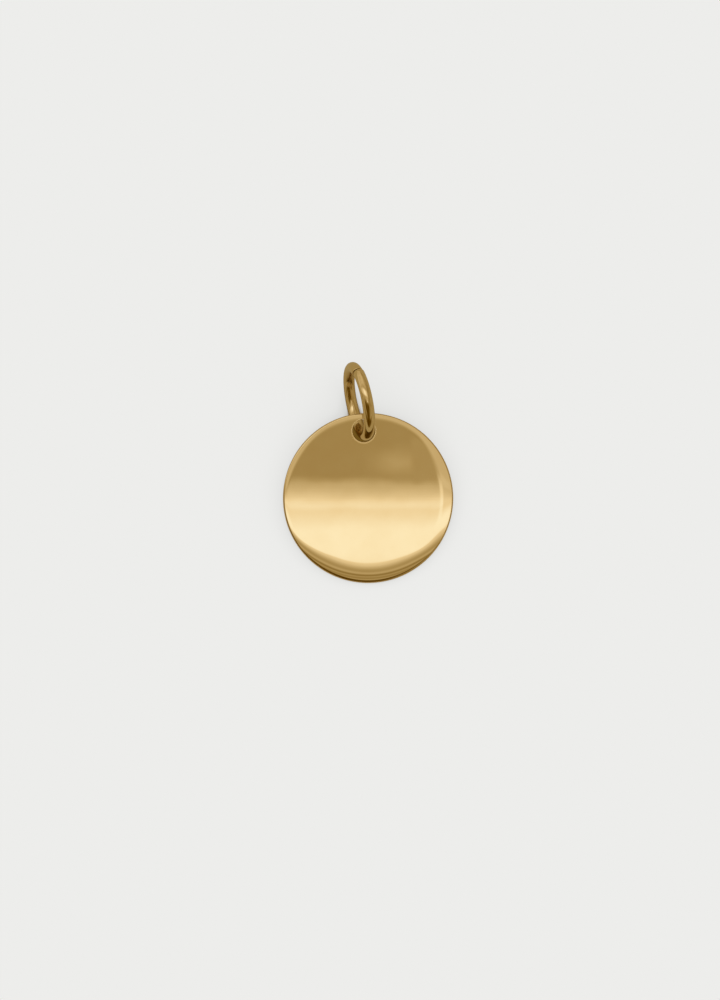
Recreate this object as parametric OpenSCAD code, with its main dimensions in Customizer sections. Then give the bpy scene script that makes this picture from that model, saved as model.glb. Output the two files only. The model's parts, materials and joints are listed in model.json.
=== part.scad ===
// Disc pendant: a flat polished disc on an open jump ring.
// It lies on a surface as it does when it is put down. The ring stands nearly on edge
// in the disc's hole and its foot lies under the disc's edge, so the disc leans: the
// side with the hole is lifted, and the far side rests on its rounded edge.
// The origin is on that surface, under the middle of the pendant's outer box.
// +Z points up, out of the disc's face, and +Y runs from the disc to the ring.

/* [Disc] */
// Diameter of the disc
disc_d = 12; // [8:0.5:20]
// Thickness of the sheet that the disc is cut from
disc_t = 0.6; // [0.4:0.05:0.8]
// Radius of the softened edge, front and back
edge_r = 0.2; // [0.05:0.01:0.3]

/* [Hole] */
// Room between the ring's wire and the hole, on each side
hole_clear = 0.4; // [0.36:0.02:0.8]
// Metal left between the hole and the disc's edge
web_w = 0.42; // [0.3:0.01:0.8]
// Turn of the hole from the top of the disc, to the left, in degrees
hole_turn = 3.8; // [-8:0.2:8]
// Width of the polished break round both mouths of the hole
hole_break = 0.06; // [0.02:0.01:0.1]

/* [Jump ring] */
// Diameter of the ring's wire
wire_d = 0.8; // [0.6:0.05:1]
// Inside diameter of the ring
ring_id = 4; // [3.4:0.1:6]
// Width of the cut between the wire's two ends
cut_gap = 0.06; // [0.02:0.01:0.2]
// Sideways step from one end of the wire to the other
cut_step = 0.04; // [0:0.01:0.3]
// Place of the cut round the ring, from its top towards the front, in degrees
cut_at = 34; // [10:1:60]

/* [Lie of the ring] */
// Place round the ring that lies in the hole, from its top by way of the front, in degrees
thread_at = 204; // [198:1:210]
// Turn of the ring's axis from the disc's width, in degrees
ring_turn = 10.8; // [4:0.2:16]
// Dip of the ring's axis below the disc's face, in degrees
ring_dip = 12.3; // [6:0.1:18]
// Shift of the wire to the left in the hole, as a share of the room beside it
thread_left = 0.66; // [0:0.01:0.7]
// Shift of the wire down in the hole, as a share of the room beside it
thread_low = 0.5; // [0:0.01:0.6]

/* [Hidden] */
$fn = 96;

// The disc's own frame: origin in the middle of its back, z out of its face
disc_r = disc_d / 2;
round_r = min(edge_r, 0.49 * disc_t);
hole_d = wire_d + 2 * hole_clear;
hole_out = disc_r - web_w - hole_d / 2;
hole_x = -hole_out * sin(hole_turn);
hole_y = hole_out * cos(hole_turn);

// The ring's centre line, in the disc's frame. A place round it is given from its top
// by way of the front, and ring_up and ring_front are the ways to those two places.
// The wire slants through the hole, which leaves hole_room beside it at both faces.
ring_r = (ring_id + wire_d) / 2;
wire_r = wire_d / 2;
ring_axis = [cos(ring_dip) * cos(ring_turn), cos(ring_dip) * sin(ring_turn), -sin(ring_dip)];
ring_up = [-sin(ring_turn), cos(ring_turn), 0];
ring_front = cross(ring_axis, ring_up);
wire_way = cos(thread_at) * ring_front - sin(thread_at) * ring_up;
wire_slant = acos(abs(wire_way.z));
hole_room = hole_d / 2 - wire_r / cos(wire_slant) - disc_t / 2 * tan(wire_slant);
thread_point = [
  hole_x - thread_left * hole_room,
  hole_y - thread_low * hole_room,
  disc_t / 2
];
ring_centre = thread_point - ring_r * (cos(thread_at) * ring_up + sin(thread_at) * ring_front);

// The lean: the disc turns about a level line square to the way from its middle to the
// ring's foot, until its own edge and the foot both touch the surface
foot = ring_centre - ring_r * ring_front;
lean_side = atan2(-foot.x, foot.y);
lean_way = [-sin(lean_side), cos(lean_side), 0];
function disc_lift(lean) = (disc_r - round_r) * sin(lean) + round_r * (1 - cos(lean));
function height(point, lean) = point.z * cos(lean) + point * lean_way * sin(lean);
function foot_height(lean) =
  height(ring_centre, lean) + disc_lift(lean)
  - ring_r * sqrt(1 - pow(height(ring_axis, lean), 2)) - wire_r;
function settled_lean(low, high, steps) =
  let (middle = (low + high) / 2)
  steps == 0 ? middle
  : foot_height(middle) < 0 ? settled_lean(middle, high, steps - 1)
  : settled_lean(low, middle, steps - 1);
lean = settled_lean(0, 40, 30);

// Where the middle of the pendant's outer box lies, seen from above. On a level line
// the disc and the ring each reach their centre line's reach and their rounding more.
function flat_turn(point) = [
  point.x * cos(lean_side) + point.y * sin(lean_side),
  point.y * cos(lean_side) - point.x * sin(lean_side),
  point.z
];
function leaned(point) = [
  point.x,
  point.y * cos(lean) - point.z * sin(lean),
  point.y * sin(lean) + point.z * cos(lean)
];
function turned_back(point) = [
  point.x * cos(lean_side) - point.y * sin(lean_side),
  point.x * sin(lean_side) + point.y * cos(lean_side),
  point.z
];
function laid(point) = turned_back(leaned(flat_turn(point)));
disc_middle = laid([0, 0, disc_t / 2]);
disc_axis = laid([0, 0, 1]);
disc_reach =
  (disc_r - round_r) * sqrt(1 - pow(disc_axis.y, 2))
  + (disc_t / 2 - round_r) * abs(disc_axis.y) + round_r;
ring_reach = ring_r * sqrt(1 - pow(laid(ring_axis).y, 2)) + wire_r;
box_middle = [
  disc_middle.x,
  (disc_middle.y - disc_reach + laid(ring_centre).y + ring_reach) / 2
];

// Colour of the gold plating
gold = [0.83, 0.62, 0.28];

// Puts what stands in the disc's frame down on the surface, leaning and centred
module lay_down() {
  translate([-box_middle.x, -box_middle.y, disc_lift(lean)])
    rotate([0, 0, lean_side])
      rotate([lean, 0, 0])
        rotate([0, 0, -lean_side])
          children();
}

// Half of the disc's section: a flat bar whose outer corners are rounded
module disc_section() {
  square([disc_r - round_r, disc_t]);
  translate([disc_r - 2 * round_r, round_r])
    square([2 * round_r, disc_t - 2 * round_r]);
  for (side = [round_r, disc_t - round_r])
    translate([disc_r - round_r, side])
      circle(r = round_r);
}

// The hole, drilled through the disc, with a small cone at each mouth
module hole_tool() {
  over = 1;
  translate([hole_x, hole_y, -over])
    cylinder(d = hole_d, h = disc_t + 2 * over);
  translate([hole_x, hole_y, disc_t - hole_break])
    cylinder(d1 = hole_d, d2 = hole_d + 4 * hole_break, h = 2 * hole_break);
  translate([hole_x, hole_y, -hole_break])
    cylinder(d1 = hole_d + 4 * hole_break, d2 = hole_d, h = 2 * hole_break);
}

module disc() {
  color(gold)
    lay_down()
      difference() {
        rotate_extrude()
          disc_section();
        hole_tool();
      }
}

// Half of the ring's wire, from the place opposite the cut to the cut. It is turned a
// little about the wire's own line at that place, which steps its cut end to one side.
module half_ring(side) {
  cut_angle = asin(cut_gap / 2 / ring_r);
  step_angle = asin(cut_step / 4 / ring_r);
  translate([-ring_r, 0, 0])
    rotate([0, -side * step_angle, 0])
      translate([ring_r, 0, 0])
        mirror([0, side > 0 ? 1 : 0, 0])
          rotate([0, 0, 180])
            rotate_extrude(angle = 180 - cut_angle)
              translate([ring_r, 0])
                circle(r = wire_r);
}

module jump_ring() {
  color(gold)
    lay_down()
      translate(ring_centre)
        rotate([0, ring_dip, ring_turn])
          rotate([90, 0, 90])
            rotate([0, 0, cut_at]) {
              half_ring(1);
              half_ring(-1);
            }
}

disc();
jump_ring();
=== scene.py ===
"""Looks of the disc pendant: a mirror-polished plated disc on its open jump ring, lying on a pale sweep."""

import json
import math

import bpy
import numpy as np
from bpy.props import FloatProperty, IntProperty, PointerProperty, StringProperty
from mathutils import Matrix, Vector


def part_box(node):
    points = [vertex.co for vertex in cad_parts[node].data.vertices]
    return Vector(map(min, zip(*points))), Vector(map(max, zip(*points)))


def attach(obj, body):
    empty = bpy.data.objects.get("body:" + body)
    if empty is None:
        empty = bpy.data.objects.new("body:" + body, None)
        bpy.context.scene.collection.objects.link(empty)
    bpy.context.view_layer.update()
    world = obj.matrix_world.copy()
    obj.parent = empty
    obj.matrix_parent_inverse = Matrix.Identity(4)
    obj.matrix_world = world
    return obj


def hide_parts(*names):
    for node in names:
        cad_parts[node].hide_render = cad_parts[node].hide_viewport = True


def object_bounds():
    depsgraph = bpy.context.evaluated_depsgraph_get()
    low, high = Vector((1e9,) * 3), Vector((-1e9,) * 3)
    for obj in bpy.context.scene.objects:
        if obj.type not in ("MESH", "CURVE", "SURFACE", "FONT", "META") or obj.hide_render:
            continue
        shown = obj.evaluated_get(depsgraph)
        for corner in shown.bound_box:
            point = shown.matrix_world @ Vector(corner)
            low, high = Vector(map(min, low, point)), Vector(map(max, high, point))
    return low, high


bl_info = {
    "name": "Disc Pendant",
    "version": (1, 0, 0),
    "blender": (4, 5, 0),
    "location": "View3D > Sidebar > Pendant",
    "description": "Builds a polished disc pendant on its jump ring, with a jewellery set round it",
    "category": "Object",
}

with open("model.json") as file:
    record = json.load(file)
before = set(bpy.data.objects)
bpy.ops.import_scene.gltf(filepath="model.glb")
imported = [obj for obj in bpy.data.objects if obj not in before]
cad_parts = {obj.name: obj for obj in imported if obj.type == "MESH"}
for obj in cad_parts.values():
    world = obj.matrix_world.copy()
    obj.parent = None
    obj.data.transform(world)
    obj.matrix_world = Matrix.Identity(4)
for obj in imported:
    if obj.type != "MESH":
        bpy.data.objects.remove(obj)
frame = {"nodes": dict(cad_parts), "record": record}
CAD_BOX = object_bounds()
MM = 0.001


def unit(vector):
    """The vector scaled to a length of one."""
    return vector / np.linalg.norm(vector)


def read(items, name, width=1, kind=float):
    """One property of each of a mesh's items, as an array with this many columns."""
    values = np.empty(len(items) * width, dtype=kind)
    items.foreach_get(name, values)
    return values.reshape(-1, width)


def measure_disc():
    """Reads the disc's place from its CAD mesh, in metres.

    The widest flat face that looks up gives the axis, and the box's middle gives the centre. The faces
    that stand square to that one and lie clear of the rim are the hole's wall.
    """
    mesh = frame["nodes"]["disc"].data
    corners = read(mesh.vertices, "co", 3)
    normals = read(mesh.polygons, "normal", 3)
    middles = read(mesh.polygons, "center", 3)
    areas = read(mesh.polygons, "area")[:, 0]
    faces = read(mesh.loops, "vertex_index", kind=int).reshape(-1, 3)

    looks_up = normals[:, 2] > 0.5
    axis = unit(normals[np.argmax(areas * looks_up)])
    across = unit(np.cross((0, 1, 0), axis))
    along = np.cross(axis, across)
    low, high = (np.array(corner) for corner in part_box("disc"))
    centre = (low + high) / 2
    flat = np.stack([(corners - centre) @ across, (corners - centre) @ along], axis=1)
    heights = (corners - centre) @ axis
    radius = np.hypot(flat[:, 0], flat[:, 1]).max()
    reach = np.hypot((middles - centre) @ across, (middles - centre) @ along)
    stands_square = np.abs(normals @ axis) < 0.1
    clear_of_rim = reach < 0.97 * radius
    hole = flat[np.unique(faces[stands_square & clear_of_rim])]
    hole_centre = (hole.min(0) + hole.max(0)) / 2
    return {
        "centre": centre,
        "across": across,
        "along": along,
        "axis": axis,
        "radius": radius,
        "thickness": heights.max() - heights.min(),
        "hole_x": hole_centre[0],
        "hole_y": hole_centre[1],
        "hole_radius": np.hypot(*(hole - hole_centre).T).max(),
    }


def measure_ring():
    """Reads the ring's place from its mount. Its top is the way that lies in its plane and the disc's."""
    mount = frame["record"]["mounts"][0]
    axis = unit(np.array(mount["axis"]))
    top = unit(np.cross(DISC["axis"], axis))
    return {
        "centre": np.array(mount["pos_m"]),
        "axis": axis,
        "top": top,
        "front": np.cross(axis, top),
        "inner_radius": mount["dims"]["r_mm"] * MM,
        "wire_radius": mount["dims"]["length_mm"] * MM / 2,
    }


DISC = measure_disc()
RING = measure_ring()


class PlatingSettings:
    """What the settings of both pieces hold"""

    plating: StringProperty(
        name="Plating colour", description="sRGB colour of the plating", default="#F4DFB0"
    )
    worn: StringProperty(
        name="Worn colour", description="sRGB colour where the plating is rubbed", default="#EBD09A"
    )
    wear_reach: FloatProperty(
        name="Wear reach",
        description="How far the rubbing reaches from an edge",
        default=0.15 * MM,
        unit="LENGTH",
    )


class DiscSettings(PlatingSettings, bpy.types.PropertyGroup):
    """Sizes of the disc, and its finish"""

    radius: FloatProperty(
        name="Radius", description="Radius of the disc", default=DISC["radius"], unit="LENGTH"
    )
    thickness: FloatProperty(
        name="Thickness", description="Thickness of the sheet", default=DISC["thickness"], unit="LENGTH"
    )
    front_edge: FloatProperty(
        name="Front edge",
        description="Radius left on the edge round the front",
        default=0.1 * MM,
        unit="LENGTH",
    )
    left_edge: FloatProperty(
        name="Left edge",
        description="Radius of the front's edge at the left",
        default=0.12 * MM,
        unit="LENGTH",
    )
    foot_edge: FloatProperty(
        name="Foot edge",
        description="Radius of the front's edge at the foot",
        default=0.2 * MM,
        unit="LENGTH",
    )
    back_edge: FloatProperty(
        name="Back edge",
        description="Radius of the softened edge round the back",
        default=0.2 * MM,
        unit="LENGTH",
    )
    hole_break: FloatProperty(
        name="Hole break",
        description="Radius of the rounded mouth of the hole",
        default=0.014 * MM,
        unit="LENGTH",
    )
    roll_slope: FloatProperty(
        name="Roll-off slope",
        description="Slope that polishing has given the face at its rim",
        default=math.radians(2.0),
        subtype="ANGLE",
    )
    right_slope: FloatProperty(
        name="Slope at the right",
        description="Slope that polishing has given the face at its rim on the right",
        default=math.radians(1.2),
        subtype="ANGLE",
    )
    roll_left: FloatProperty(
        name="Roll-off, left",
        description="Width of the roll-off at the left",
        default=0.38 * MM,
        unit="LENGTH",
    )
    roll_top: FloatProperty(
        name="Roll-off, top",
        description="Width of the roll-off at the top",
        default=0.56 * MM,
        unit="LENGTH",
    )
    roll_right: FloatProperty(
        name="Roll-off, right",
        description="Width of the roll-off at the right",
        default=1.1 * MM,
        unit="LENGTH",
    )
    roll_foot: FloatProperty(
        name="Roll-off, foot",
        description="Width of the roll-off at the foot",
        default=1.5 * MM,
        unit="LENGTH",
    )
    rows: IntProperty(name="Rows", description="Rows of the front face's grid", default=92, min=24)
    columns: IntProperty(name="Columns", description="Columns of the grid, once round", default=400, min=48)
    roughness: FloatProperty(
        name="Roughness",
        description="Roughness of the polish",
        default=0.012,
        min=0,
        max=1,
        subtype="FACTOR",
    )


class RingSettings(PlatingSettings, bpy.types.PropertyGroup):
    """Sizes of the jump ring, and its finish"""

    wire_radius: FloatProperty(
        name="Wire radius", description="Radius of the wire", default=RING["wire_radius"], unit="LENGTH"
    )
    inner_radius: FloatProperty(
        name="Inner radius",
        description="Inside radius of the ring",
        default=RING["inner_radius"],
        unit="LENGTH",
    )
    cut_at: FloatProperty(
        name="Cut",
        description="Place of the cut, from the ring's top towards its front",
        default=math.radians(34),
        subtype="ANGLE",
    )
    cut_gap: FloatProperty(
        name="Cut gap", description="Width of the cut", default=0.06 * MM, unit="LENGTH"
    )
    cut_step: FloatProperty(
        name="Cut step",
        description="Sideways step from one end to the other",
        default=0.04 * MM,
        unit="LENGTH",
    )
    end_radius: FloatProperty(
        name="End radius",
        description="Rounding of the wire's two ends",
        default=0.05 * MM,
        unit="LENGTH",
    )
    rows: IntProperty(name="Rows", description="Rows of the grid along the wire", default=400, min=48)
    columns: IntProperty(
        name="Columns", description="Columns of the grid round the wire", default=64, min=12
    )
    roughness: FloatProperty(
        name="Roughness",
        description="Roughness of the wire",
        default=0.06,
        min=0,
        max=1,
        subtype="FACTOR",
    )


class StageSettings(bpy.types.PropertyGroup):
    """The sweep, and where the camera stands"""

    floor_size: FloatProperty(
        name="Floor size", description="Side of the square floor", default=2.4, unit="LENGTH"
    )
    floor: StringProperty(name="Floor colour", description="sRGB colour of the sweep", default="#EDEDEB")
    shade_reach: FloatProperty(
        name="Shade reach",
        description="How far the contact shade looks for the metal",
        default=8 * MM,
        unit="LENGTH",
    )
    lens: FloatProperty(
        name="Lens", description="Focal length in millimetres", default=135.0, unit="CAMERA"
    )
    distance: FloatProperty(
        name="Distance", description="From the camera to its target", default=264.5 * MM, unit="LENGTH"
    )
    tilt: FloatProperty(
        name="Camera tilt",
        description="Tilt of the camera from straight down, on the side away from the ring",
        default=math.radians(3.38),
        subtype="ANGLE",
    )
    aim_x: FloatProperty(
        name="Aim X",
        description="How far the target lies from the disc's middle towards +X",
        default=-0.57 * MM,
        unit="LENGTH",
    )
    aim_y: FloatProperty(
        name="Aim Y",
        description="How far the target lies from the disc's middle towards +Y",
        default=-0.135 * MM,
        unit="LENGTH",
    )


def colour(text):
    """The linear RGBA of an sRGB hex colour such as #FEE8B7."""
    parts = np.array([int(text[i : i + 2], 16) for i in (1, 3, 5)]) / 255
    linear = np.where(parts <= 0.04045, parts / 12.92, ((parts + 0.055) / 1.055) ** 2.4)
    return (*linear.tolist(), 1.0)


def add(tree, kind, inputs=None, **settings):
    """Adds a node with its settings, and gives each named input a value or a link.

    A node given as an input stands for the first of its outputs that is in use.
    """
    node = tree.nodes.new(kind)
    for name, value in settings.items():
        setattr(node, name, value)
    for name, value in (inputs or {}).items():
        if isinstance(value, bpy.types.Node):
            value = next(output for output in value.outputs if output.enabled)
        if isinstance(value, bpy.types.NodeSocket):
            tree.links.new(value, node.inputs[name])
        else:
            node.inputs[name].default_value = value
    return node


def set_stops(ramp, stops):
    """Gives a colour ramp these stops, each a place from 0 to 1 and a colour."""
    elements = ramp.color_ramp.elements
    while len(elements) > 1:
        elements.remove(elements[-1])
    for index, (place, tint) in enumerate(stops):
        stop = elements[0] if index == 0 else elements.new(place)
        stop.position = place
        stop.color = tint


# A quad's four corners, as steps along the rows and round the columns
QUAD_CORNERS = ((0, 0), (0, 1), (1, 1), (1, 0))


def surface(name, points, wear, lengths, closed):
    """Makes a mesh object from a grid of points, shaped (rows, columns, 3), that closes round its columns.

    With closed, the last row joins the first and the grid is a torus. Otherwise each end row is closed
    by a fan to its own middle. The UV map spreads the two lengths, in metres, evenly over the rows and
    the columns, and holds nothing on the fans. The faces are turned outwards by the sign of the volume
    that they enclose. The wear attribute says how rubbed each point is, from 0 to 1.
    """
    rows, columns = points.shape[:2]
    row = np.arange(rows if closed else rows - 1)[:, None]
    column = np.arange(columns)[None, :]
    quads = np.stack(
        [(row + down) % rows * columns + (column + on) % columns for down, on in QUAD_CORNERS], axis=-1
    ).reshape(-1, 4)
    steps = np.stack(
        [np.stack(np.broadcast_arrays(row + down, column + on), axis=-1) for down, on in QUAD_CORNERS],
        axis=2,
    ).reshape(-1, 2)
    along, around = lengths
    uvs = steps * (along / rows, around / columns)
    corners = points.reshape(-1, 3)
    worn = np.broadcast_to(wear, (rows, columns)).ravel()
    faces = quads.tolist()
    if not closed:
        middles = np.stack([points[0].mean(0), points[-1].mean(0)])
        corners = np.concatenate([corners, middles])
        worn = np.concatenate([worn, [1, 1]])
        first = rows * columns
        ring = np.arange(columns)
        beyond = (ring + 1) % columns
        last_row = (rows - 1) * columns
        start = np.stack([np.full(columns, first), beyond, ring], axis=1)
        end = np.stack([np.full(columns, first + 1), last_row + ring, last_row + beyond], axis=1)
        faces += start.tolist() + end.tolist()
        uvs = np.concatenate([uvs, np.zeros((6 * columns, 2))])
    a, b, c, d = (corners[quads[:, i]] for i in range(4))
    volume = np.einsum("ij,ij->", a, np.cross(b, c)) + np.einsum("ij,ij->", a, np.cross(c, d))
    mesh = bpy.data.meshes.new(name)
    mesh.from_pydata(corners.tolist(), [], faces)
    mesh.uv_layers.new(name="UVMap").data.foreach_set("uv", uvs.astype(np.float32).ravel())
    mesh.attributes.new("wear", "FLOAT", "POINT").data.foreach_set("value", worn.astype(np.float32))
    mesh.polygons.foreach_set("use_smooth", np.ones(len(faces), dtype=bool))
    if volume < 0:
        mesh.flip_normals()
    mesh.validate()
    mesh.update()
    piece = bpy.data.objects.new(name, mesh)
    bpy.context.scene.collection.objects.link(piece)
    return piece


def smooth(edge_low, edge_high, value):
    """Runs from 0 at one edge to 1 at the other, level at both."""
    share = np.clip((value - edge_low) / (edge_high - edge_low), 0, 1)
    return share * share * (3 - 2 * share)


# Over which part of the round each side's form grows from nothing to full: the cosines of the angles from
# the middle of that side
TOP_GROWS = (0.1, 0.6)
RIGHT_GROWS = (0.6, 1)
FOOT_GROWS = (0.35, 0.98)
LEFT_EDGE_GROWS = (0.2, 0.8)
FOOT_EDGE_GROWS = (0.45, 0.95)
# The power with which the roll-off's slope grows across its width
ROLL_POWER = 1.5


def face_height(x, y, made):
    """How far the polished front lies above its flat plane, which is never above zero.

    The roll-off's width runs smoothly from side to side: narrow at the left, wide at the right and widest
    at the foot, opposite the hole. Across it the slope grows from nothing to its full value with a power
    of the share of the width, so the height has that power and one more.
    """
    distance = np.hypot(x, y)
    right = smooth(*RIGHT_GROWS, x / distance)
    foot = smooth(*FOOT_GROWS, -y / distance)
    width = made.roll_left + (made.roll_top - made.roll_left) * smooth(*TOP_GROWS, y / distance)
    width = width + (made.roll_right - width) * right
    width = width + (made.roll_foot - width) * foot
    slope = made.roll_slope + (made.right_slope - made.roll_slope) * right * (1 - foot)
    share = np.clip(1 - (made.radius - distance) / width, 0, None)
    return -slope * width / (ROLL_POWER + 1) * share ** (ROLL_POWER + 1)


# Rows of the grid round each quarter of an edge, on half of the hole's wall and on half of the rim
EDGE_ROWS = 13
WALL_ROWS = 4
RIM_ROWS = 3
# How much the face's rows close up towards the rim, as a power
CROWDING = 1.4


def half_section(edge, made):
    """One half of the disc's section in each column, from the middle of the hole's wall to that of the rim.

    Takes the edge's radius in each column. Returns share (0 at the hole's circle and 1 at the rim's),
    radius and height, each shaped (rows, columns). The mouth and the edge are quarter circles, and the
    rows between them close up towards the rim.
    """
    half = made.thickness / 2
    mouth = DISC["hole_radius"]
    soft = made.hole_break
    rim = made.radius - edge
    turn = np.linspace(0, math.pi / 2, EDGE_ROWS)[:, None]
    face = 1 - (1 - np.linspace(0, 1, made.rows)[:, None]) ** CROWDING
    wall = np.linspace(0, half - soft, WALL_ROWS + 1)[:-1, None]
    land = np.linspace(1, 0, RIM_ROWS + 1)[1:, None]
    pieces = (
        (0, mouth, wall),
        (0, mouth + soft * (1 - np.cos(turn[:-1])), half - soft + soft * np.sin(turn[:-1])),
        (face, (1 - face) * (mouth + soft) + face * rim, half + 0 * face),
        (1, rim + edge * np.sin(turn[1:]), half - edge * (1 - np.cos(turn[1:]))),
        (1, made.radius, land * (half - edge)),
    )
    wide = [np.broadcast_arrays(*piece, edge[None, :])[:3] for piece in pieces]
    return [np.concatenate(rows) for rows in zip(*wide)]


def disc_points(made):
    """The disc as one closed grid: once round, and through the hole, over the front, round the rim and back.

    Each row is a circle, or nearly one where the edge's radius changes. Its middle moves from the hole's
    to the disc's by (1 - share), and its radius grows from the hole's to the rim's, so the face needs no
    pole. The front's edge grows smoothly from its own radius to the left's and the foot's, and the edge
    at the back is the same all round. The wear falls off as the exponential of the distance from the
    nearer of the rim and the hole. Returns the points and the wear.
    """
    angle = np.linspace(0, 2 * math.pi, made.columns, endpoint=False)
    left = (made.left_edge - made.front_edge) * smooth(*LEFT_EDGE_GROWS, -np.cos(angle))
    foot = (made.foot_edge - made.front_edge) * smooth(*FOOT_EDGE_GROWS, -np.sin(angle))
    front = half_section(made.front_edge + np.maximum(left, foot), made)
    back = half_section(np.full(made.columns, made.back_edge), made)
    share, radius, height = (
        np.concatenate([upper, lower[-2:0:-1] * sign]) for upper, lower, sign in zip(front, back, (1, 1, -1))
    )
    x = (1 - share) * DISC["hole_x"] + radius * np.cos(angle)
    y = (1 - share) * DISC["hole_y"] + radius * np.sin(angle)
    z = height + face_height(x, y, made) * np.clip(2 * height / made.thickness, 0, 1)
    flat = x[..., None] * DISC["across"] + y[..., None] * DISC["along"]
    to_rim = made.radius - np.hypot(x, y)
    to_hole = np.hypot(x - DISC["hole_x"], y - DISC["hole_y"]) - DISC["hole_radius"]
    wear = np.exp(-np.clip(np.minimum(to_rim, to_hole), 0, None) / made.wear_reach)
    return DISC["centre"] + flat + z[..., None] * DISC["axis"], wear


# Rows of the grid on each flat end of the wire, as shares of its radius, and round the end's edge
END_SHARES = (0.3, 0.6)
END_ROWS = 9
# How worn the inside of the ring is, and where round the wire it grows, as the cosines of the angles from
# the innermost line
INNER_WEAR = 0.5
INNER_GROWS = (0.5, 1)


def ring_points(made):
    """The ring's wire as one tube from cut to cut, with rounded ends.

    Its middle line is a circle, which steps sideways by the cosine of the angle from the cut. Its rows
    start at the middle of one flat end, run out and round its edge, along the wire, and in again.
    The wear falls off from both ends, and is less inside the ring, where the disc rubs it.
    Returns the points and the wear.
    """
    middle = made.inner_radius + made.wire_radius
    turn = np.linspace(0, math.pi / 2, END_ROWS)
    soft = made.end_radius
    flat_end = made.wire_radius * np.array(END_SHARES)
    inset = np.concatenate([0 * flat_end, soft * (1 - np.cos(turn))])
    reach = np.concatenate([flat_end, made.wire_radius - soft + soft * np.sin(turn)])
    gap = made.cut_gap / 2 / middle
    start = gap + inset / middle
    body = np.linspace(start[-1], 2 * math.pi - start[-1], made.rows)[1:-1]
    angle = np.concatenate([start, body, 2 * math.pi - start[::-1]])[:, None, None]
    radius = np.concatenate([reach, made.wire_radius + 0 * body, reach[::-1]])[:, None, None]
    place = made.cut_at + angle
    out = np.cos(place) * RING["top"] + np.sin(place) * RING["front"]
    side = made.cut_step / 4 * (1 + np.cos(angle)) * np.sign(math.pi - angle)
    line = RING["centre"] + middle * out + side * RING["axis"]
    around = np.linspace(0, 2 * math.pi, made.columns, endpoint=False)[None, :, None]
    to_end = middle * np.minimum(angle, 2 * math.pi - angle)
    inside = smooth(*INNER_GROWS, -np.cos(around))
    wear = np.maximum(np.exp(-to_end / made.wear_reach), INNER_WEAR * inside)[..., 0]
    return line + radius * (np.cos(around) * out + np.sin(around) * RING["axis"]), wear


# Between which values a noise mostly lies, for a Map Range
NOISE_SPAN = {"From Min": 0.3, "From Max": 0.7}


def per_metre(length):
    """The scale that gives a noise features of this length."""
    return 1 / length


def plated_colour(tree, made, place, cloud_size, cloud_share, wear):
    """The plating's colour: a little duller in clouds, and towards the base metal where it is rubbed."""
    rubbed_share = 0.35
    cloud = add(tree, "ShaderNodeTexNoise", {"Vector": place, "Scale": per_metre(cloud_size), "Detail": 3})
    duller = add(tree, "ShaderNodeMapRange", {"Value": cloud, **NOISE_SPAN, "To Max": cloud_share})
    cloudy = add(
        tree,
        "ShaderNodeMix",
        {"Factor": duller, "A": colour(made.plating), "B": colour(made.worn)},
        data_type="RGBA",
    )
    rubbed = add(tree, "ShaderNodeMath", {0: wear, 1: rubbed_share}, operation="MULTIPLY")
    return add(
        tree, "ShaderNodeMix", {"Factor": rubbed, "A": cloudy, "B": colour(made.worn)}, data_type="RGBA"
    )


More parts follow.
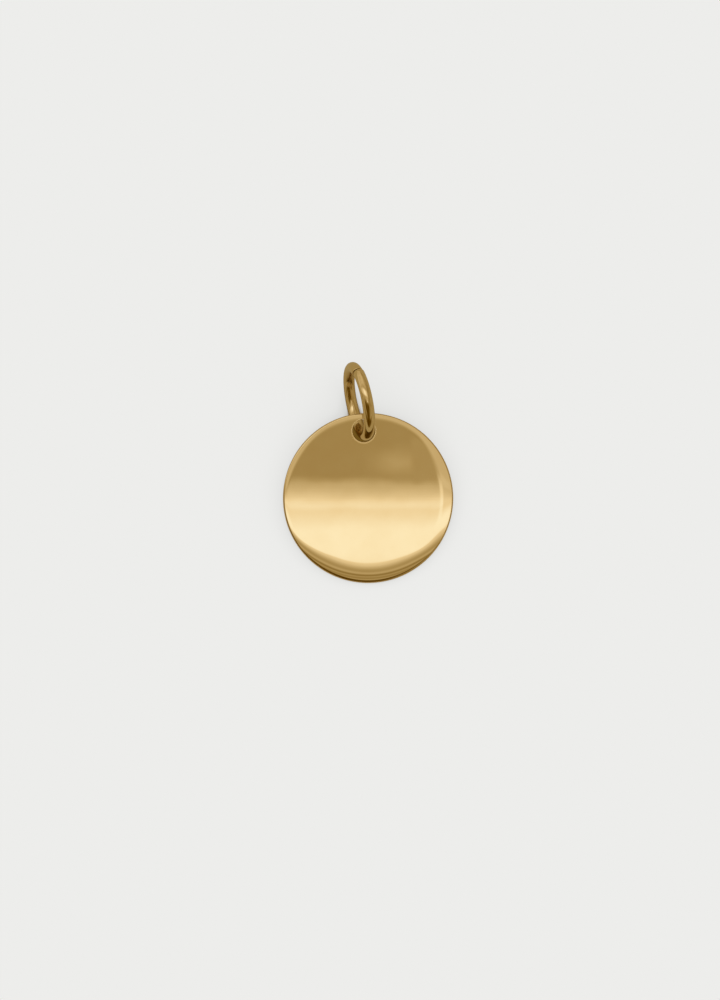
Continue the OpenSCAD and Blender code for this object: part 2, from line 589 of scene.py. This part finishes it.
def mirror_polished_plating(made):
    """Gold plating a few micrometres thick on brass sheet that was cut, tumbled and buffed to a mirror.

    Buffing leaves a face that is flat to a fraction of a micrometre over a few millimetres, which makes
    mirrored lines waver a little. Its hairlines are 5 micrometres wide. They are drawn 0.12 mm wide here,
    because they would be lost in the render, and their slopes are kept far under what would show as
    grooves. Handling leaves faint smudges, and edges are rubbed rougher and towards the brass.
    """
    material = bpy.data.materials.new("mirror_polished_gold_plating")
    material.use_nodes = True
    tree = material.node_tree
    tree.nodes.clear()
    place = add(tree, "ShaderNodeTexCoord").outputs["Object"]
    wear = add(tree, "ShaderNodeAttribute", attribute_name="wear").outputs["Fac"]

    # Clouds in the plating's colour, a few in a hundred apart
    cloud_size = 1.5 * MM
    cloud_share = 0.3
    tint = plated_colour(tree, made, place, cloud_size, cloud_share, wear)

    # Smudges that blur the mirror a little, and edges that the tumbling has left satin
    smudge_size = 2.5 * MM
    clean = 0.6 * made.roughness
    handled = 1.3 * made.roughness
    satin = 0.3
    satin_power = 3
    smudge = add(
        tree, "ShaderNodeTexNoise", {"Vector": place, "Scale": per_metre(smudge_size), "Detail": 4}
    )
    smudged = add(
        tree, "ShaderNodeMapRange", {"Value": smudge, **NOISE_SPAN, "To Min": clean, "To Max": handled}
    )
    edge = add(tree, "ShaderNodeMath", {0: wear, 1: satin_power}, operation="POWER")
    rough = add(tree, "ShaderNodeMath", {0: edge, 1: satin, 2: smudged}, operation="MULTIPLY_ADD")

    # Waves from the buffing, whose slopes are near 0.01 degrees, and hairlines across them
    wave_size = 5 * MM
    wave_height = 1.4e-3 * MM
    hair_length = 6 * MM
    hair_width = 0.12 * MM
    hair_height = 1e-5 * MM
    hair_turn = math.radians(24)
    wave = add(tree, "ShaderNodeTexNoise", {"Vector": place, "Scale": per_metre(wave_size), "Detail": 2})
    waved = add(tree, "ShaderNodeBump", {"Strength": 1, "Distance": wave_height, "Height": wave})
    buffed = add(
        tree,
        "ShaderNodeMapping",
        {
            "Vector": place,
            "Rotation": (0, 0, hair_turn),
            "Scale": (per_metre(hair_length), per_metre(hair_width), per_metre(hair_length)),
        },
    )
    hair = add(tree, "ShaderNodeTexNoise", {"Vector": buffed, "Scale": 1, "Detail": 2})
    lined = add(
        tree, "ShaderNodeBump", {"Strength": 1, "Distance": hair_height, "Height": hair, "Normal": waved}
    )

    finish = {"Metallic": 1, "Base Color": tint, "Roughness": rough, "Normal": lined}
    add(tree, "ShaderNodeOutputMaterial", {"Surface": add(tree, "ShaderNodeBsdfPrincipled", finish)})
    return material


def drawn_wire_plating(made):
    """Gold plating on brass wire that was drawn through a die, wound into rings, sawn and barrel polished.

    The die leaves lines along the wire, 5 to 10 micrometres apart, which streak its highlights. They are
    drawn 0.05 mm apart here so that they show. Winding and polishing leave long shallow waves.
    The sawn ends, and the inside that the disc rubs, are duller and nearer to the brass.
    """
    material = bpy.data.materials.new("bright_gold_plated_wire")
    material.use_nodes = True
    tree = material.node_tree
    tree.nodes.clear()
    where = add(tree, "ShaderNodeTexCoord").outputs
    wear = add(tree, "ShaderNodeAttribute", attribute_name="wear").outputs["Fac"]

    # Clouds in the plating's colour
    cloud_size = 0.9 * MM
    cloud_share = 0.5
    tint = plated_colour(tree, made, where["Object"], cloud_size, cloud_share, wear)

    # Draw lines along the wire, in the UV map's metres
    line_length = 3 * MM
    line_width = 0.05 * MM
    between_lines = 0.85 * made.roughness
    on_lines = 1.3 * made.roughness
    satin = 0.12
    drawn = add(
        tree,
        "ShaderNodeMapping",
        {"Vector": where["UV"], "Scale": (per_metre(line_length), per_metre(line_width), 1)},
    )
    line = add(tree, "ShaderNodeTexNoise", {"Vector": drawn, "Scale": 1, "Detail": 2})
    lined_rough = add(
        tree, "ShaderNodeMapRange", {"Value": line, **NOISE_SPAN, "To Min": between_lines, "To Max": on_lines}
    )
    rough = add(tree, "ShaderNodeMath", {0: wear, 1: satin, 2: lined_rough}, operation="MULTIPLY_ADD")

    # Waves from the winding, under the draw lines
    wave_size = 1.5 * MM
    wave_height = 0.015 * MM
    line_height = 6e-4 * MM
    wave = add(
        tree, "ShaderNodeTexNoise", {"Vector": where["Object"], "Scale": per_metre(wave_size), "Detail": 1}
    )
    waved = add(tree, "ShaderNodeBump", {"Strength": 1, "Distance": wave_height, "Height": wave})
    lined = add(
        tree, "ShaderNodeBump", {"Strength": 1, "Distance": line_height, "Height": line, "Normal": waved}
    )

    finish = {"Metallic": 1, "Base Color": tint, "Roughness": rough, "Normal": lined}
    add(tree, "ShaderNodeOutputMaterial", {"Surface": add(tree, "ShaderNodeBsdfPrincipled", finish)})
    return material


# The colour of the light that each tone stands for. A tone is the green level, out of 255, that the
# plating shows when it mirrors that light once.
TONES = (
    (40, "#472D00"),
    (52, "#533A00"),
    (85, "#745E2B"),
    (115, "#937F54"),
    (145, "#B1A07D"),
    (176, "#D0C2A8"),
    (208, "#F0E5D3"),
    (232, "#FFFFFF"),
)

# The set round the pendant. Each card covers a window of the sky, in degrees from straight up towards +X
# and +Y, and its sides fade over a softness in degrees. It shows one tone, and its cover is the share that
# it hides of what lies behind. The flat disc mirrors 3 by 3 degrees of it, and the wire the whole sky.
BASE_TONE = 138
ROOM_CARDS = (
    # west, east, softness, south, north, softness, tone, cover
    (15, 140, 25, -140, 140, 25, 122, 1.0),
    (-140, 25, 14, 26, 140, 14, 156, 1.0),
    (-140, -60, 15, -140, 10, 15, 118, 1.0),
    (-66, 36, 27, -140, -1, 27, 56, 1.0),
    (-90, 76, 16, -140, -56, 16, 56, 1.0),
    (-80, 34, 22, -2, 32, 12, 190, 1.0),
    (-46, 12, 16, 2, 26, 9, 236, 0.7),
)
# What the flat of the disc mirrors of it: a soft card, and a darker one before it
FACE_CARDS = (
    (-12, 16, 6, -18, 4, 6, 168, 1.0),
    (0.1, 4.4, 1.2, -13, -6.9, 2, 130, 1.0),
)
# How uneven the room is: the scale of its patches, and how far apart their tones lie. A scale of 7 makes
# patches about 8 degrees wide, and one of 2 makes them about 30 degrees wide.
ROOM_PATCHES = ((7.0, 18), (2.0, 26))

# The strip light's profile from north to south, in degrees, each with its tone
STRIP = (
    (-9.6, 154),  # its soft edge
    (-9.8, 165),
    (-10.0, 200),
    (-10.1, 220),  # the bright line of its frame
    (-10.2, 212),
    (-10.5, 232),  # its bright middle
    (-11.0, 227),
    (-11.1, 203),  # its fading side
    (-11.5, 176),
    (-12.2, 136),
    (-12.8, 152),  # the light that it throws on its stand
    (-13.2, 108),  # the stand's two dark seams
    (-13.5, 136),
    (-13.9, 118),
    (-14.4, 143),  # the stand's lit side
    (-14.6, 84),  # the dark behind it
)
# Its west and east ends, its foot, how soft they are, and where it comes in from the tone behind it
STRIP_SIDES = (-6, 10)
STRIP_FOOT = -17
STRIP_EDGE = 3
STRIP_START = (-9.64, -9.79)
# What stands in front of the strip light: a faint patch above it, cut off at its right, and at the far
# right a grey screen with a bright side
STANDS = (
    (2.25, 3.7, 0.7, -9.78, -9.14, 0.4, 160, 0.8),
    (3.07, 3.6, 0.12, -9.82, -9.0, 0.15, 137, 1.0),
    (4.0, 8.0, 0.2, -10.35, -9.3, 0.25, 190, 0.5),
    (3.6, 4.25, 0.25, -10.7, -9.45, 0.35, 238, 0.5),
)
# How much stronger the set is than white, to make up for the light that each mirroring loses
SET_STRENGTH = 1.095
# The tones already hold the plating's own tint once, so the light that the ring and the hole pass to and
# fro would turn to a strong orange. Two mirrorings multiply the set by the first colour, and three or more
# show the second alone. The limits lie between one count of mirrorings and the next.
TWICE_MIRRORED = "#CED3DA"
OFTEN_MIRRORED = "#8F99A8"
TWICE_LIMIT = 1.5
OFTEN_LIMIT = 2.5
# A light card that only a second mirroring shows, wide in the south. It lights the wire's side in the
# hole.
TWICE_CARD = (-60, 100, 12, -52, 0, 12, 176, 1.0)


def window(tree, x, y, west, east, soft_x, south, north, soft_y):
    """A mask that is 1 inside a card's window and falls to 0 across its soft sides."""
    mask = 1
    for value, low, high, soft in ((x, west, east, soft_x), (y, south, north, soft_y)):
        for near, far in ((low, low + soft), (high, high - soft)):
            side = add(
                tree,
                "ShaderNodeMapRange",
                {"Value": value, "From Min": near, "From Max": far},
                interpolation_type="SMOOTHSTEP",
            )
            mask = add(tree, "ShaderNodeMath", {0: mask, 1: side}, operation="MULTIPLY")
    return mask


def lay_card(tree, x, y, behind, card):
    """Lays one card of the set over the tone behind it."""
    *place, tone, cover = card
    mask = add(tree, "ShaderNodeMath", {0: window(tree, x, y, *place), 1: cover}, operation="MULTIPLY")
    return add(tree, "ShaderNodeMix", {"Factor": mask, "A": behind, "B": tone / 255}, data_type="FLOAT")


def lay_strip(tree, x, y, behind):
    """Lays the strip light over the tone behind it."""
    north, south = STRIP[0][0], STRIP[-1][0]
    share = add(tree, "ShaderNodeMapRange", {"Value": y, "From Min": north, "From Max": south})
    strip = add(tree, "ShaderNodeValToRGB", {"Fac": share})
    strip.color_ramp.interpolation = "CARDINAL"
    greys = [(place, (tone / 255,) * 3 + (1,)) for place, tone in STRIP]
    set_stops(strip, [((place - north) / (south - north), grey) for place, grey in greys])
    sides = window(tree, x, y, *STRIP_SIDES, STRIP_EDGE, STRIP_FOOT, north + STRIP_EDGE, STRIP_EDGE)
    begun = add(
        tree,
        "ShaderNodeMapRange",
        {"Value": y, "From Min": STRIP_START[0], "From Max": STRIP_START[1]},
        interpolation_type="SMOOTHSTEP",
    )
    mask = add(tree, "ShaderNodeMath", {0: sides, 1: begun}, operation="MULTIPLY")
    return add(tree, "ShaderNodeMix", {"Factor": mask, "A": behind, "B": strip}, data_type="FLOAT")


def lay_set(tree, direction, x, y):
    """Lays the whole set over its base tone, from the room to what stands before the strip light."""
    tone = BASE_TONE / 255
    for card in ROOM_CARDS:
        tone = lay_card(tree, x, y, tone, card)
    for scale, apart in ROOM_PATCHES:
        patches = add(tree, "ShaderNodeTexNoise", {"Vector": direction, "Scale": scale, "Detail": 3})
        half = apart / 2 / 255
        uneven = add(
            tree, "ShaderNodeMapRange", {"Value": patches, **NOISE_SPAN, "To Min": -half, "To Max": half}
        )
        tone = add(tree, "ShaderNodeMath", {0: tone, 1: uneven}, operation="ADD")
    for card in FACE_CARDS:
        tone = lay_card(tree, x, y, tone, card)
    tone = lay_strip(tree, x, y, tone)
    for card in STANDS:
        tone = lay_card(tree, x, y, tone, card)
    return tone


def mirrored_set(tree, depth):
    """The set's colour in each direction, as metal shows it after this many mirrorings.

    A direction's place is its two angles from straight up, in degrees towards +X and +Y.
    """
    direction = add(tree, "ShaderNodeTexCoord").outputs["Generated"]
    split = add(tree, "ShaderNodeSeparateXYZ", {0: direction}).outputs
    angles = []
    for axis in ("X", "Y"):
        angle = add(tree, "ShaderNodeMath", {0: split[axis], 1: split["Z"]}, operation="ARCTAN2")
        angles.append(add(tree, "ShaderNodeMath", {0: angle, 1: math.degrees(1)}, operation="MULTIPLY"))
    x, y = angles
    once = lay_set(tree, direction, x, y)
    twice = add(tree, "ShaderNodeMath", {0: depth, 1: TWICE_LIMIT}, operation="GREATER_THAN")
    often = add(tree, "ShaderNodeMath", {0: depth, 1: OFTEN_LIMIT}, operation="GREATER_THAN")
    lit = lay_card(tree, x, y, once, TWICE_CARD)
    tone = add(tree, "ShaderNodeMix", {"Factor": twice, "A": once, "B": lit}, data_type="FLOAT")
    tint = add(tree, "ShaderNodeValToRGB", {"Fac": tone})
    set_stops(tint, [(level / 255, colour(shown)) for level, shown in TONES])
    duller = add(
        tree,
        "ShaderNodeMix",
        {"Factor": twice, "A": tint, "B": colour(TWICE_MIRRORED)},
        data_type="RGBA",
        blend_type="MULTIPLY",
    )
    return add(
        tree, "ShaderNodeMix", {"Factor": often, "A": duller, "B": colour(OFTEN_MIRRORED)}, data_type="RGBA"
    )


def build_sky(made):
    """Makes the set: what the metal mirrors of it, an even light on anything matt, and a plain backdrop.

    The sweep shines by itself and the rest is metal, so the set needs no sampling as a light.
    """
    world = bpy.data.worlds.new("jewellery_set")
    bpy.context.scene.world = world
    world.use_nodes = True
    world.cycles.sampling_method = "NONE"
    tree = world.node_tree
    tree.nodes.clear()
    path = add(tree, "ShaderNodeLightPath").outputs
    plain = add(
        tree,
        "ShaderNodeMix",
        {"Factor": path["Is Camera Ray"], "A": colour("#FFFFFF"), "B": colour(made.floor)},
        data_type="RGBA",
    )
    mirrored = mirrored_set(tree, path["Glossy Depth"])
    seen = add(
        tree, "ShaderNodeMix", {"Factor": path["Is Glossy Ray"], "A": plain, "B": mirrored}, data_type="RGBA"
    )
    strength = add(
        tree,
        "ShaderNodeMath",
        {0: path["Is Glossy Ray"], 1: SET_STRENGTH - 1, 2: 1},
        operation="MULTIPLY_ADD",
    )
    sky = add(tree, "ShaderNodeBackground", {"Color": seen, "Strength": strength})
    add(tree, "ShaderNodeOutputWorld", {"Surface": sky})


# The sweep's colour as its sky is covered by the metal, from wholly covered to open: as the camera sees
# it, and as the metal mirrors it. Both ramps are painted shade, and the mirrored one is also a painted
# reflection tone. The browns under the disc are painted shade, tinted as light that has come off the plating.
SHADE_SEEN = (
    (0.10, "#61450F"),
    (0.30, "#80622A"),
    (0.38, "#CDCDCA"),
    (0.45, "#D7D7D5"),
    (0.55, "#DDDDDB"),
    (0.62, "#E4E4E2"),
    (0.72, "#E7E7E5"),
    (0.90, "#ECECEA"),
    (1.00, "#EDEDEB"),
)
SHADE_MIRRORED = ((0.0, "#3A2703"), (0.3, "#685020"), (0.7, "#937F56"), (0.9, "#A7966F"))
# Rays that look for the metal round each point of the sweep
SHADE_SAMPLES = 48


def sweep_paper(name, shade_reach=0):
    """Pale paper sweep that shines by itself. Its tint is painted shade that follows how open its sky is,
    seen by the camera or mirrored by the metal.

    With no reach the whole sky counts as open.
    """
    material = bpy.data.materials.new(name)
    material.use_nodes = True
    tree = material.node_tree
    tree.nodes.clear()
    openness = 1
    if shade_reach:
        # Painted contact shade: the sweep's glow darkens where the metal covers its sky
        cover = add(tree, "ShaderNodeAmbientOcclusion", {"Distance": shade_reach}, samples=SHADE_SAMPLES)
        openness = cover.outputs["AO"]
    # Painted shade as the camera sees it, and a painted reflection tone as the metal mirrors it
    seen = add(tree, "ShaderNodeValToRGB", {"Fac": openness})
    mirrored = add(tree, "ShaderNodeValToRGB", {"Fac": openness})
    set_stops(seen, [(place, colour(tint)) for place, tint in SHADE_SEEN])
    set_stops(mirrored, [(place, colour(tint)) for place, tint in SHADE_MIRRORED])
    path = add(tree, "ShaderNodeLightPath").outputs
    tint = add(
        tree,
        "ShaderNodeMix",
        {"Factor": path["Is Glossy Ray"], "A": seen, "B": mirrored},
        data_type="RGBA",
    )
    # The sweep glows by itself, in the colour of its painted shade
    paper = add(tree, "ShaderNodeEmission", {"Color": tint})
    add(tree, "ShaderNodeOutputMaterial", {"Surface": paper})
    return material


def build_floor(made):
    """Makes the sweep: a pale sheet with a faint soft painted contact shade round the pendant.

    It is a grid of 3 by 3 faces. Its middle one reaches as far past the pendant as the shade does.
    """
    half = made.floor_size / 2
    reach = np.abs(np.array(CAD_BOX))[:, :2].max() + made.shade_reach
    places = np.array((-half, -reach, reach, half))
    x, y = np.meshgrid(places, places)
    corners = np.stack([x.ravel(), y.ravel(), 0 * x.ravel()], axis=1)
    wide = len(places)
    first = (np.arange(wide - 1)[:, None] * wide + np.arange(wide - 1)).ravel()
    faces = np.stack([first, first + 1, first + wide + 1, first + wide], axis=1)
    mesh = bpy.data.meshes.new("floor")
    mesh.from_pydata(corners.tolist(), [], faces.tolist())
    mesh.materials.append(sweep_paper("paper_sweep"))
    mesh.materials.append(sweep_paper("painted_shade_paper_sweep", made.shade_reach))
    mesh.polygons[len(faces) // 2].material_index = 1
    floor = bpy.data.objects.new("floor", mesh)
    bpy.context.scene.collection.objects.link(floor)


def build_camera(made):
    """Puts the camera over the disc, tilted a little towards the side away from the ring."""
    data = bpy.data.cameras.new("camera")
    data.lens = made.lens
    data.sensor_width = 36  # millimetres, a full frame
    data.clip_start = 0.01
    data.clip_end = 10
    camera = bpy.data.objects.new("camera", data)
    bpy.context.scene.collection.objects.link(camera)
    target = DISC["centre"] + (made.aim_x, made.aim_y, 0)
    back = np.array((0, -math.sin(made.tilt), math.cos(made.tilt)))
    camera.location = target + made.distance * back
    camera.rotation_euler = (made.tilt, 0, 0)
    bpy.context.scene.camera = camera


class PENDANT_OT_disc(bpy.types.Operator):
    """Builds the polished disc"""

    bl_idname = "pendant.disc"
    bl_label = "Disc"

    def execute(self, context):
        made = context.scene.pendant_disc
        points, wear = disc_points(made)
        around = 2 * math.pi * made.radius
        along = 2 * (made.radius + made.thickness)
        piece = surface("polished_disc", points, wear, (along, around), closed=True)
        piece.data.materials.append(mirror_polished_plating(made))
        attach(piece, "root")
        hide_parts("disc")
        return {"FINISHED"}


class PENDANT_OT_jump_ring(bpy.types.Operator):
    """Builds the open jump ring"""

    bl_idname = "pendant.jump_ring"
    bl_label = "Jump ring"

    def execute(self, context):
        made = context.scene.pendant_ring
        points, wear = ring_points(made)
        along = 2 * math.pi * (made.inner_radius + made.wire_radius)
        around = 2 * math.pi * made.wire_radius
        piece = surface("wire_jump_ring", points, wear, (along, around), closed=False)
        piece.data.materials.append(drawn_wire_plating(made))
        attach(piece, "root")
        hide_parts("jump_ring")
        return {"FINISHED"}


class PENDANT_OT_stage(bpy.types.Operator):
    """Builds the floor, the light and the camera"""

    bl_idname = "pendant.stage"
    bl_label = "Stage"

    def execute(self, context):
        made = context.scene.pendant_stage
        context.scene.view_settings.view_transform = "Standard"
        build_camera(made)
        build_sky(made)
        build_floor(made)
        return {"FINISHED"}


class PENDANT_PT_panel(bpy.types.Panel):
    """Lists the pieces and their sizes"""

    bl_idname = "PENDANT_PT_panel"
    bl_label = "Disc Pendant"
    bl_space_type = "VIEW_3D"
    bl_region_type = "UI"
    bl_category = "Pendant"

    def draw(self, context):
        for group, operator in (
            (context.scene.pendant_disc, "pendant.disc"),
            (context.scene.pendant_ring, "pendant.jump_ring"),
            (context.scene.pendant_stage, "pendant.stage"),
        ):
            box = self.layout.box()
            for name in group.bl_rna.properties.keys():
                if name not in ("rna_type", "name"):
                    box.prop(group, name)
            box.operator(operator)


CLASSES = (
    DiscSettings,
    RingSettings,
    StageSettings,
    PENDANT_OT_disc,
    PENDANT_OT_jump_ring,
    PENDANT_OT_stage,
    PENDANT_PT_panel,
)


def register():
    for kind in CLASSES:
        bpy.utils.register_class(kind)
    bpy.types.Scene.pendant_disc = PointerProperty(type=DiscSettings)
    bpy.types.Scene.pendant_ring = PointerProperty(type=RingSettings)
    bpy.types.Scene.pendant_stage = PointerProperty(type=StageSettings)


def unregister():
    del bpy.types.Scene.pendant_stage
    del bpy.types.Scene.pendant_ring
    del bpy.types.Scene.pendant_disc
    for kind in reversed(CLASSES):
        bpy.utils.unregister_class(kind)


def main():
    register()
    bpy.ops.pendant.stage()
    bpy.ops.pendant.disc()
    bpy.ops.pendant.jump_ring()


if __name__ == "__main__":
    main()
